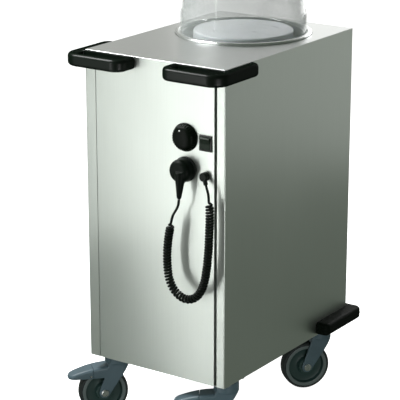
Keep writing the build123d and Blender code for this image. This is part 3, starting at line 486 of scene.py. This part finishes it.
screws = Plan(
    "rear_screws_pan_head", head_radius=screw_head_radius, head_rise=screw_head_rise,
    shank_radius=screw_shank_radius, shank_length=screw_shank_length,
)
ball = screws.node("GeometryNodeMeshUVSphere", {}, {"Segments": 28, "Rings": 14, "Radius": 1.0}, "Mesh")
head_size = screws.vector(screws.given("head_radius"), screws.given("head_radius"), screws.given("head_rise"))
ball = screws.node("GeometryNodeTransform", {}, {"Geometry": ball, "Scale": head_size})
slots = [
    screws.node("GeometryNodeMeshCube", {}, {"Size": size}, "Mesh")
    for size in ((recess_reach, recess_width, screw_head_rise), (recess_width, recess_reach, screw_head_rise))
]
recess = screws.moved(screws.joined(*slots), screws.vector(z=screws.given("head_rise")))
cut = {"Mesh 1": ball, "Mesh 2": recess}
cut_head = screws.node("GeometryNodeMeshBoolean", {"operation": "DIFFERENCE"}, cut, "Mesh")
low = screws.math("MULTIPLY", screws.given("shank_length"), -1.0)
shank = screws.disc(14, screws.given("shank_radius"), screws.given("shank_length"), low)
upright = screws.node("GeometryNodeInstanceOnPoints", {}, {
    "Points": screws.given("Geometry"), "Instance": screws.joined(cut_head, shank),
    "Rotation": (-math.pi / 2, 0.0, 0.0),
})
screws.finished(upright, zinc)
screw_rows = 4
row_rise = (screw_high.z - screw_low.z - 2 * screw_head_radius) / (screw_rows - 1)
screw_places = [
    (x, rear_y, screw_low.z + screw_head_radius + row * row_rise)
    for x in (screw_low.x + screw_head_radius, screw_high.x - screw_head_radius) for row in range(screw_rows)
]
rear_screws = screws.put_on(points_piece("rear_screws_pan_head", screw_places))
soften(rear_screws.data)
settle(rear_screws, "root", "zinc_steel", "rear_screws")

# ---- corner handles ----
# One moulding of glossy black plastic round each front corner: a bent grip bar, its legs and a thin back
# plate, screwed to the cabinet from inside.
handle_colour = (0.0028, 0.0060, 0.0035, 1.0)
handle_finish = moulding(
    "handle plastic", handle_colour, 0.45, grain=700.0, depth=0.00002,
    shader={"Specular IOR Level": 0.0, "Coat Roughness": 0.32},
)
squarely = 1 - handle_finish.node("ShaderNodeLayerWeight", {}, {"Blend": 0.5}, "Facing")
handle_finish.give({"Coat Weight": squarely * squarely * 0.6})
for side in ("left", "right"):
    grip_bar = moulded(f"grip_bar_{side}", f"handle_{side}", voxel=0.0013, easing=5)
    handle_finish.put_on(grip_bar)
    settle(grip_bar, "root", "handle_plastic", f"handle_{side}")

# ---- rear bumpers ----
# Solid black rubber blocks bolted round the two rear corners at the foot of the cabinet. Their outer
# faces are moulded with level grooves.
groove_rows = 3
groove_depth = 0.0014
grooves_from = 0.12
grooves_to = 0.88
bumper_finish = moulding(
    "bumper rubber", (0.0016, 0.0040, 0.0020, 1.0), 0.60, grain=500.0, depth=0.00012,
    shader={"Specular IOR Level": 0.08},
)
for side in ("left", "right"):
    bumper = moulded(f"grooved_bumper_{side}", f"rear_bumper_{side}", voxel=0.0013, easing=3)
    low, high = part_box(f"rear_bumper_{side}")
    for vertex in bumper.data.vertices:
        rise = (vertex.co.z - low.z) / (high.z - low.z)
        outwards = math.hypot(vertex.normal.x, vertex.normal.y)
        wave = max(0.0, math.cos(2 * math.pi * groove_rows * rise)) ** 2
        if grooves_from < rise < grooves_to:
            vertex.co -= vertex.normal * (groove_depth * wave * outwards ** 2)
    bumper_finish.put_on(bumper)
    settle(bumper, "root", "bumper_rubber", f"rear_bumper_{side}")

# ---- dispenser tube and its mouth ----
# A rolled and welded steel tube hangs by its flange in the deck. A bright ring on the flange keeps the
# cover in place; inside are the guide rods, rubber buffers and the carriage with its bushes.
axis_y = (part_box("dispenser_tube")[0].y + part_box("dispenser_tube")[1].y) / 2
tube_steel = brushed("tube steel", (0.62, 0.64, 0.63, 1.0), 0.30, (12.0, 12.0, 900.0))
tube_steel.put_on(frame["nodes"]["dispenser_tube"])

chrome = Finish("collar chrome", {"Metallic": 1.0})
chrome_patches = chrome.noise((90.0,) * 3)
chrome.give({
    "Base Color": chrome.mix((0.74, 0.76, 0.76, 1.0), (0.82, 0.84, 0.83, 1.0), chrome_patches),
    "Roughness": chrome_patches * 0.10 + 0.20,
})
chrome.put_on(frame["nodes"]["collar_ring"])
zinc.put_on(frame["nodes"]["guide_rods"])
moulding("buffer rubber", (0.012, 0.014, 0.013, 1.0), 0.6).put_on(frame["nodes"]["buffers"])
moulding("bush plastic", (0.80, 0.80, 0.76, 1.0), 0.35).put_on(frame["nodes"]["guide_bushes"])

platform_colour = (0.90, 0.905, 0.94, 1.0)
moulding(
    "platform plastic", platform_colour, 0.30, grain=600.0, depth=0.00002, shader={"Subsurface Weight": 0.1},
).put_on(frame["nodes"]["platform"])

# ---- lift springs ----
# Three close-wound tension springs hang between the ring in the tube's mouth and the carriage. They
# stretch as plates push the platform down.
spring_low, spring_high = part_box("lift_springs")
spring_wire = 0.0009
spring_turns = 38.0
spring_outer_radius = 0.0065
spring_radius = spring_outer_radius - spring_wire
spring_circle = 0.140
spring_first = 30.0
spring_count = 3

spring_steel = Finish("spring steel", {"Metallic": 1.0})
spring_patches = spring_steel.noise((300.0,) * 3)
spring_steel.give({
    "Base Color": spring_steel.mix((0.30, 0.31, 0.32, 1.0), (0.44, 0.45, 0.46, 1.0), spring_patches),
    "Roughness": spring_patches * 0.15 + 0.22,
})

winding = Plan(
    "lift_spring_coils", coil_radius=spring_radius, wire_radius=spring_wire, turns=spring_turns,
    height=spring_high.z - spring_low.z - 2 * spring_wire,
)
spiral = winding.node("GeometryNodeCurveSpiral", {}, {
    "Resolution": 22, "Rotations": winding.given("turns"), "Start Radius": winding.given("coil_radius"),
    "End Radius": winding.given("coil_radius"), "Height": winding.given("height"),
})
section = winding.node("GeometryNodeCurvePrimitiveCircle", {}, {
    "Resolution": 8, "Radius": winding.given("wire_radius"),
})
wound = winding.node("GeometryNodeCurveToMesh", {}, {
    "Curve": spiral, "Profile Curve": section, "Fill Caps": True,
})
hung = winding.node("GeometryNodeInstanceOnPoints", {}, {
    "Points": winding.given("Geometry"), "Instance": wound,
})
winding.finished(hung, spring_steel)
spring_turns_at = [math.radians(spring_first + 360 * i / spring_count) for i in range(spring_count)]
spring_places = [
    (spring_circle * math.cos(turn), axis_y + spring_circle * math.sin(turn), spring_low.z + spring_wire)
    for turn in spring_turns_at
]
springs = winding.put_on(points_piece("lift_spring_coils", spring_places))
springs.data.shade_smooth()
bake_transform(springs)
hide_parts("lift_springs")

# ---- clear cover ----
# A round cover moulded in clear plastic: a stepped skirt stands inside the ring on the flange, and a
# turned black knob is screwed to its crown.
cover_low, cover_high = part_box("cover")
cover_wall = 0.003
skirt_radius = cover_high.x
skirt_height = 0.057
body_radius = 0.1515
top_radius = 0.1475
shoulder = 0.024
crown = 0.006
skirt_step = 0.004
cover_steps = 160
arc_steps = 8
on_axis = 1e-7


def arc(centre, radius, start, end, steps=arc_steps):
    """Points of an arc, by its angles in degrees."""
    turns = [math.radians(start + (end - start) * i / steps) for i in range(steps + 1)]
    return [(centre[0] + radius * math.cos(turn), centre[1] + radius * math.sin(turn)) for turn in turns]


def lathe(name, outline, steps, place):
    """A body turned from an outline of (radius, height) points, closed on its axis or on itself."""
    work = bmesh.new()
    rings = []
    for radius, height in outline:
        if radius < on_axis:
            rings.append([work.verts.new((0, 0, height))] * steps)
            continue
        turns = [2 * math.pi * i / steps for i in range(steps)]
        places = [(radius * math.cos(turn), radius * math.sin(turn), height) for turn in turns]
        rings.append([work.verts.new(at) for at in places])
    loops = list(zip(rings, rings[1:]))
    if outline[0][0] > on_axis:
        loops.append((rings[-1], rings[0]))
    for ring, after in loops:
        for i in range(steps):
            corners = list(dict.fromkeys([ring[i - 1], ring[i], after[i], after[i - 1]]))
            if len(corners) > 2:
                work.faces.new(corners)
    work.transform(place)
    bmesh.ops.recalc_face_normals(work, faces=work.faces)
    mesh = bpy.data.meshes.new(name)
    work.to_mesh(mesh)
    work.free()
    return new_piece(name, mesh)


def cover_side(inset):
    """One surface of the cover, from the foot of its skirt to the middle of its crown."""
    head = top_radius - inset
    flat = top_radius - shoulder
    side_top = cover_high.z - cover_low.z - crown - shoulder
    bend = skirt_height - skirt_step - inset
    points = [(skirt_radius - inset, 0.0), (skirt_radius - inset, bend)]
    points += arc((skirt_radius - inset - skirt_step, bend), skirt_step, 0, 90, steps=4)[1:]
    points = [point for point in points if point[0] > body_radius - inset + 0.0005]
    points += [(body_radius - inset, skirt_height - inset + 0.001), (head, side_top)]
    points += arc((flat, side_top), shoulder - inset, 0, 80)[1:]
    rise = cover_high.z - cover_low.z - inset
    rim = points[-1]
    for share in (0.75, 0.5, 0.25, 0.0):
        points.append((rim[0] * share, rise - (rise - rim[1]) * share ** 2))
    return points


cover_outline = [*cover_side(0.0), *reversed(cover_side(cover_wall))]
axis_at = Matrix.Translation((0, axis_y, cover_low.z))
clear = lathe("clear_cover_shell", cover_outline, cover_steps, axis_at)
soften(clear.data, 50.0)
clear_finish = Finish("clear plastic", {"IOR": 1.49})
haze = clear_finish.noise((14.0,) * 3, 3.0)
grazing = clear_finish.node("ShaderNodeLayerWeight", {}, {"Blend": 0.35}, "Facing")
clear_finish.give({
    "Base Color": clear_finish.mix((0.28, 0.31, 0.30, 1.0), (0.44, 0.47, 0.46, 1.0), haze),
    "Roughness": haze * 0.06 + 0.04,
    "Alpha": grazing ** 2.5 * 0.60 + (haze * 0.14 + 0.17),
})
clear_finish.put_on(clear)
settle(clear, "cover", "clear_cover", "cover")

grip_height = 0.026
grip_steps = 96
grip_at = Matrix.Translation((0, axis_y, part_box("cover_grip")[1].z - grip_height))
knob_outline = [
    (0.0, 0.0), (0.0165, 0.0), (0.0160, 0.003), (0.0155, 0.009), (0.0175, 0.0105), (0.0270, 0.0115),
    *arc((0.0270, 0.0165), 0.005, -90, 90), (0.0180, 0.0250), (0.0, 0.0258),
]
cover_knob = lathe("turned_cover_knob", knob_outline, grip_steps, grip_at)
soften(cover_knob.data, 50.0)
moulding("cover knob plastic", (0.010, 0.012, 0.011, 1.0), 0.25).put_on(cover_knob)
settle(cover_knob, "cover", "grip_plastic", "cover_grip")

# ---- thermostat knob ----
# A domed black knob with a fluted edge on the thermostat's spindle. A white dot near its rim is a pointer
# mark put where the knob's highlight falls, so it is partly a painted highlight.
joint_at = {joint["name"]: Vector(joint["pos_m"]) for joint in frame["joints"] if "pos_m" in joint}
knob_centre = joint_at["knob_turn"]
knob_radius = 0.034
knob_skirt = 0.004
dome_radius = 0.0315
dome_rise = 0.020
dot_at = (-0.0045, 0.018, 0.0178)
dot_radius = 0.0019
dot_steps = 24
flute_count = 30
flute_depth = 0.0005
fluted_from = 0.028
knob_steps = 240
knob_gap = 0.0003
knob_at = Matrix.Translation((knob_centre.x, front_y - knob_gap, knob_centre.z))
facing_front = knob_at @ Matrix.Rotation(math.pi / 2, 4, "X")

knob_side = [
    (0.0, -0.0172), (0.003, -0.0172), (0.003, 0.0), (0.0330, 0.0), (knob_radius, 0.0008), (0.0338, 0.0026),
    (0.0328, knob_skirt), (dome_radius + 0.0003, knob_skirt + 0.0004), (dome_radius, 0.0075),
    (0.0305, 0.0105), (0.0285, 0.0140), (0.0245, 0.0170), (0.0185, 0.0188), (0.0100, 0.0197),
    (0.0, dome_rise),
]
knob_body = lathe("domed_knob", knob_side, knob_steps, Matrix.Identity(4))
for vertex in knob_body.data.vertices:
    out = math.hypot(vertex.co.x, vertex.co.y)
    if out > fluted_from and vertex.co.z > knob_skirt:
        turn = math.atan2(vertex.co.y, vertex.co.x)
        sunk = out - flute_depth * (1 + math.cos(flute_count * turn))
        vertex.co.x *= sunk / out
        vertex.co.y *= sunk / out
knob_body.data.transform(facing_front)
soften(knob_body.data, 40.0)
knob_finish = moulding(
    "knob plastic", (0.002, 0.004, 0.002, 1.0), 0.34, grain=900.0, depth=0.00001,
    shader={"Specular IOR Level": 0.07},
)
knob_finish.put_on(knob_body)
settle(knob_body, "knob", "knob_plastic", "thermostat_knob")

# The white dot is partly a painted highlight, in the place of the dome's bright spot.
dot_outline = [(0.0, 0.0), (dot_radius, 0.0), (dot_radius, 0.0014), (dot_radius * 0.8, 0.0018), (0.0, 0.0019)]
knob_dot_and_highlight = lathe("pointer_and_highlight_dot", dot_outline, dot_steps, facing_front @ Matrix.Translation(dot_at))
moulding("dot paint and highlight", (0.85, 0.86, 0.85, 1.0), 0.4).put_on(knob_dot_and_highlight)
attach(knob_dot_and_highlight, "knob")

# ---- switch and parking socket ----
# A snap-in rocker switch with a dark green lens in a black bezel, and a black dummy socket that takes
# the plug.
moulding("switch plastic", (0.010, 0.012, 0.011, 1.0), 0.45).put_on(frame["nodes"]["switch_frame"])
moulding(
    "rocker plastic", (0.008, 0.016, 0.009, 1.0), 0.40, grain=400.0, depth=0.00001,
    shader={"Specular IOR Level": 0.15},
).put_on(frame["nodes"]["switch_rocker"])
moulding("socket plastic", (0.012, 0.015, 0.013, 1.0), 0.4).put_on(frame["nodes"]["parking_socket"])

# ---- electrics inside ----
# A tubular heater ring under the tube, its terminal box on the floor pan, and the thermostat's case
# behind the front panel.
heater_metal = Finish("heater tube", {"Metallic": 1.0})
tint = heater_metal.noise((40.0,) * 3, 3.0)
heater_metal.give({
    "Base Color": heater_metal.mix((0.20, 0.15, 0.11, 1.0), (0.34, 0.33, 0.34, 1.0), tint),
    "Roughness": tint * 0.2 + 0.32,
})
heater_metal.put_on(frame["nodes"]["heater_element"])
moulding("box plastic", (0.48, 0.48, 0.46, 1.0), 0.5).put_on(
    frame["nodes"]["terminal_box"], frame["nodes"]["thermostat_body"]
)

# ---- castors ----
# Four swivel castors of blue-grey moulded plastic with soft dark tyres, bolted under the floor pan. The
# front two have a hood over the wheel that runs out to a brake pedal.
corners = ("front_left", "front_right", "rear_left", "rear_right")
wheel_steps = 128
bolt_steps = 48
joint_along = {joint["name"]: Vector(joint["axis"]) for joint in frame["joints"]}
tyre_side = [
    (0.0555, 0.0), (0.0555, 0.0150), (0.0562, 0.0157), (0.0578, 0.0160), (0.0590, 0.0157), (0.0606, 0.0146),
    (0.0617, 0.0128), (0.0622, 0.0105), (0.0624, 0.0060), (0.0625, 0.0),
]
rim_side = [
    (0.0554, 0.0), (0.0554, 0.0140), (0.0548, 0.0147), (0.0540, 0.0148), (0.0478, 0.0148), (0.0468, 0.0144),
    (0.0460, 0.0132), (0.0452, 0.0062), (0.0440, 0.0046), (0.0420, 0.0040), (0.0250, 0.0040),
    (0.0228, 0.0047), (0.0216, 0.0064), (0.0206, 0.0160), (0.0202, 0.0174), (0.0194, 0.0180),
    (0.0064, 0.0180), (0.0064, 0.0),
]
lip_side = [
    (0.0466, 0.0100), (0.0554, 0.0100), (0.0554, 0.0150), (0.0549, 0.0157), (0.0541, 0.0159),
    (0.0484, 0.0159), (0.0472, 0.0155), (0.0466, 0.0146),
]
bolt_half = [(0.0, -0.0299), (0.0080, -0.0297), (0.0093, -0.0286), (0.0093, -0.0251), (0.0060, -0.0250)]
bolt_side = [*bolt_half, *[(radius, -height) for radius, height in reversed(bolt_half)]]


def both_sides(outline):
    """An outline and its mirror image on the other side of the middle, as one closed loop."""
    return [*outline, *[(radius, -height) for radius, height in reversed(outline[1:-1])]]


fork_colour = (0.080, 0.125, 0.150, 1.0)
fork_finish = moulding("fork plastic", fork_colour, 0.42, grain=600.0, depth=0.00006)
# The dark rim is painted shade for its recess; the lighter lip rings are painted light on the same plastic.
rim_shade_finish = moulding("rim plastic painted shade", (0.022, 0.052, 0.048, 1.0), 0.42, grain=600.0, depth=0.00005)
lip_light_finish = moulding("rim lip painted light", (0.130, 0.160, 0.160, 1.0), 0.40, grain=600.0, depth=0.00005)
tyre_finish = moulding("tyre rubber", (0.016, 0.022, 0.022, 1.0), 0.65, grain=450.0, depth=0.00012)
for corner in corners:
    spin = f"wheel_{corner}_spin"
    upright = joint_along[spin].to_track_quat("Z", "Y").to_matrix().to_4x4()
    wheel_at = Matrix.Translation(joint_at[spin]) @ upright
    tyre = lathe(f"soft_tyre_{corner}", both_sides(tyre_side), wheel_steps, wheel_at)
    soften(tyre.data)
    tyre_finish.put_on(tyre)
    settle(tyre, f"wheel_{corner}", "tyre_rubber", f"tyre_{corner}")
    rim = lathe(f"dished_rim_{corner}", both_sides(rim_side), wheel_steps, wheel_at)
    soften(rim.data)
    rim_shade_finish.put_on(rim)
    settle(rim, f"wheel_{corner}", "rim_plastic", f"rim_{corner}")
    # Lip rings over the rim, in the lighter grey that is painted light.
    for face, across in (("outer", 1), ("inner", -1)):
        ring = lathe(
            f"rim_lip_{face}_{corner}", [(radius, height * across) for radius, height in lip_side],
            wheel_steps, wheel_at,
        )
        soften(ring.data)
        lip_light_finish.put_on(ring)
        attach(ring, f"wheel_{corner}")
    bolt = lathe(f"axle_bolt_{corner}", bolt_side, bolt_steps, wheel_at)
    soften(bolt.data)
    zinc.put_on(bolt)
    settle(bolt, f"castor_{corner}", "zinc_steel", f"axle_{corner}")
    fork = moulded(f"moulded_fork_{corner}", f"fork_{corner}", voxel=0.0012, easing=4)
    fork_finish.put_on(fork)
    settle(fork, f"castor_{corner}", "fork_plastic", f"fork_{corner}")
    if corner.startswith("front"):
        pedal = moulded(f"moulded_pedal_{corner}", f"brake_pedal_{corner}", voxel=0.0010, easing=3)
        fork_finish.put_on(pedal)
        settle(pedal, f"pedal_{corner}", "pedal_plastic", f"brake_pedal_{corner}")
        zinc.put_on(frame["nodes"][f"pedal_pin_{corner}"])
zinc.put_on(frame["nodes"]["castor_mounts"], frame["nodes"]["castor_bolts"])

# ---- studio ----
# A white floor that fills the picture. A tall strip light at the front left casts the cord's shadow, and
# soft cards stand where the brushed sheets mirror them.
floor_reach = 30.0
floor_shape = bpy.data.meshes.new("floor")
floor_corners = [(-1, -1), (1, -1), (1, 1), (-1, 1)]
floor_shape.from_pydata([(x * floor_reach, y * floor_reach, 0) for x, y in floor_corners], [], [(0, 1, 2, 3)])
floor = new_piece("floor", floor_shape)
Finish("floor", {
    "Base Color": (0.9, 0.9, 0.9, 1.0), "Emission Color": (1, 1, 1, 1), "Emission Strength": 1.0,
}).put_on(floor)
floor.visible_diffuse = False
floor.visible_glossy = False
floor.visible_shadow = False

# Each light: its place, what it faces, its width and height, its power, and its turn in its own plane.
lights = {
    "strip_light": ((-0.50, -1.50, 0.60), (0.10, -0.29, 0.60), (0.09, 2.20), 5.5, 0.0),
    "top_card": ((-0.85, -0.70, 1.95), (0.0, 0.0, 0.9), (0.6, 0.6), 36, 0.0),
    "rear_card": ((-0.20, 0.91, 1.21), (0.30, 0.22, 0.95), (0.90, 0.80), 1.9, 0.0),
    "side_card": ((0.72, 0.70, 0.72), (0.20, 0.0, 0.87), (1.20, 0.60), 0.55, 0.0),
    "front_card": ((-0.08, -0.72, 0.47), (0.23, -0.29, 0.63), (0.50, 1.05), 0.7, 20.0),
    "upper_card": ((-0.27, -0.72, 0.72), (0.04, -0.29, 0.88), (0.55, 0.70), 0.62, 0.0),
    "low_card": ((1.30, -1.00, 0.30), (0.10, 0.10, 0.10), (0.50, 0.30), 6, 0.0),
    "back_card": ((0.0, 2.60, 1.20), (0.0, 0.3, 0.5), (1.50, 1.20), 20, 0.0),
}
for name, (place, aim, size, power, roll) in lights.items():
    light = bpy.data.lights.new(name, "AREA")
    light.energy = power
    light.shape = "RECTANGLE"
    light.size, light.size_y = size
    stand = bpy.data.objects.new(name, light)
    stand.location = place
    aimed = (Vector(aim) - Vector(place)).to_track_quat("-Z", "Y").to_matrix()
    stand.rotation_euler = (aimed @ Matrix.Rotation(math.radians(roll), 3, "Z")).to_euler()
    stand.visible_camera = False
    bpy.context.collection.objects.link(stand)

# The room's own light: dim all round, brighter behind the cart's left.
bright_way = (-0.505, 0.808, 0.303)
dim_to = 0.15
bright_from = 0.95
room_dim = (0.095, 0.115, 0.092, 1.0)
room_bright = (0.46, 0.47, 0.44, 1.0)
world = bpy.data.worlds.new("room")
bpy.context.scene.world = world
world.use_nodes = True
room = world.node_tree
background = room.nodes["Background"]
way = room.nodes.new("ShaderNodeTexCoord")
towards = room.nodes.new("ShaderNodeVectorMath")
towards.operation = "DOT_PRODUCT"
towards.inputs[1].default_value = bright_way
room.links.new(way.outputs["Generated"], towards.inputs[0])
spread = room.nodes.new("ShaderNodeMapRange")
spread.interpolation_type = "SMOOTHSTEP"
spread.inputs["From Min"].default_value = dim_to
spread.inputs["From Max"].default_value = bright_from
room.links.new(towards.outputs["Value"], spread.inputs["Value"])
tones = room.nodes.new("ShaderNodeMix")
tones.data_type = "RGBA"
tones.inputs[6].default_value = room_dim
tones.inputs[7].default_value = room_bright
room.links.new(spread.outputs["Result"], tones.inputs[0])
room.links.new(tones.outputs[2], background.inputs["Color"])
background.inputs["Strength"].default_value = 1.0
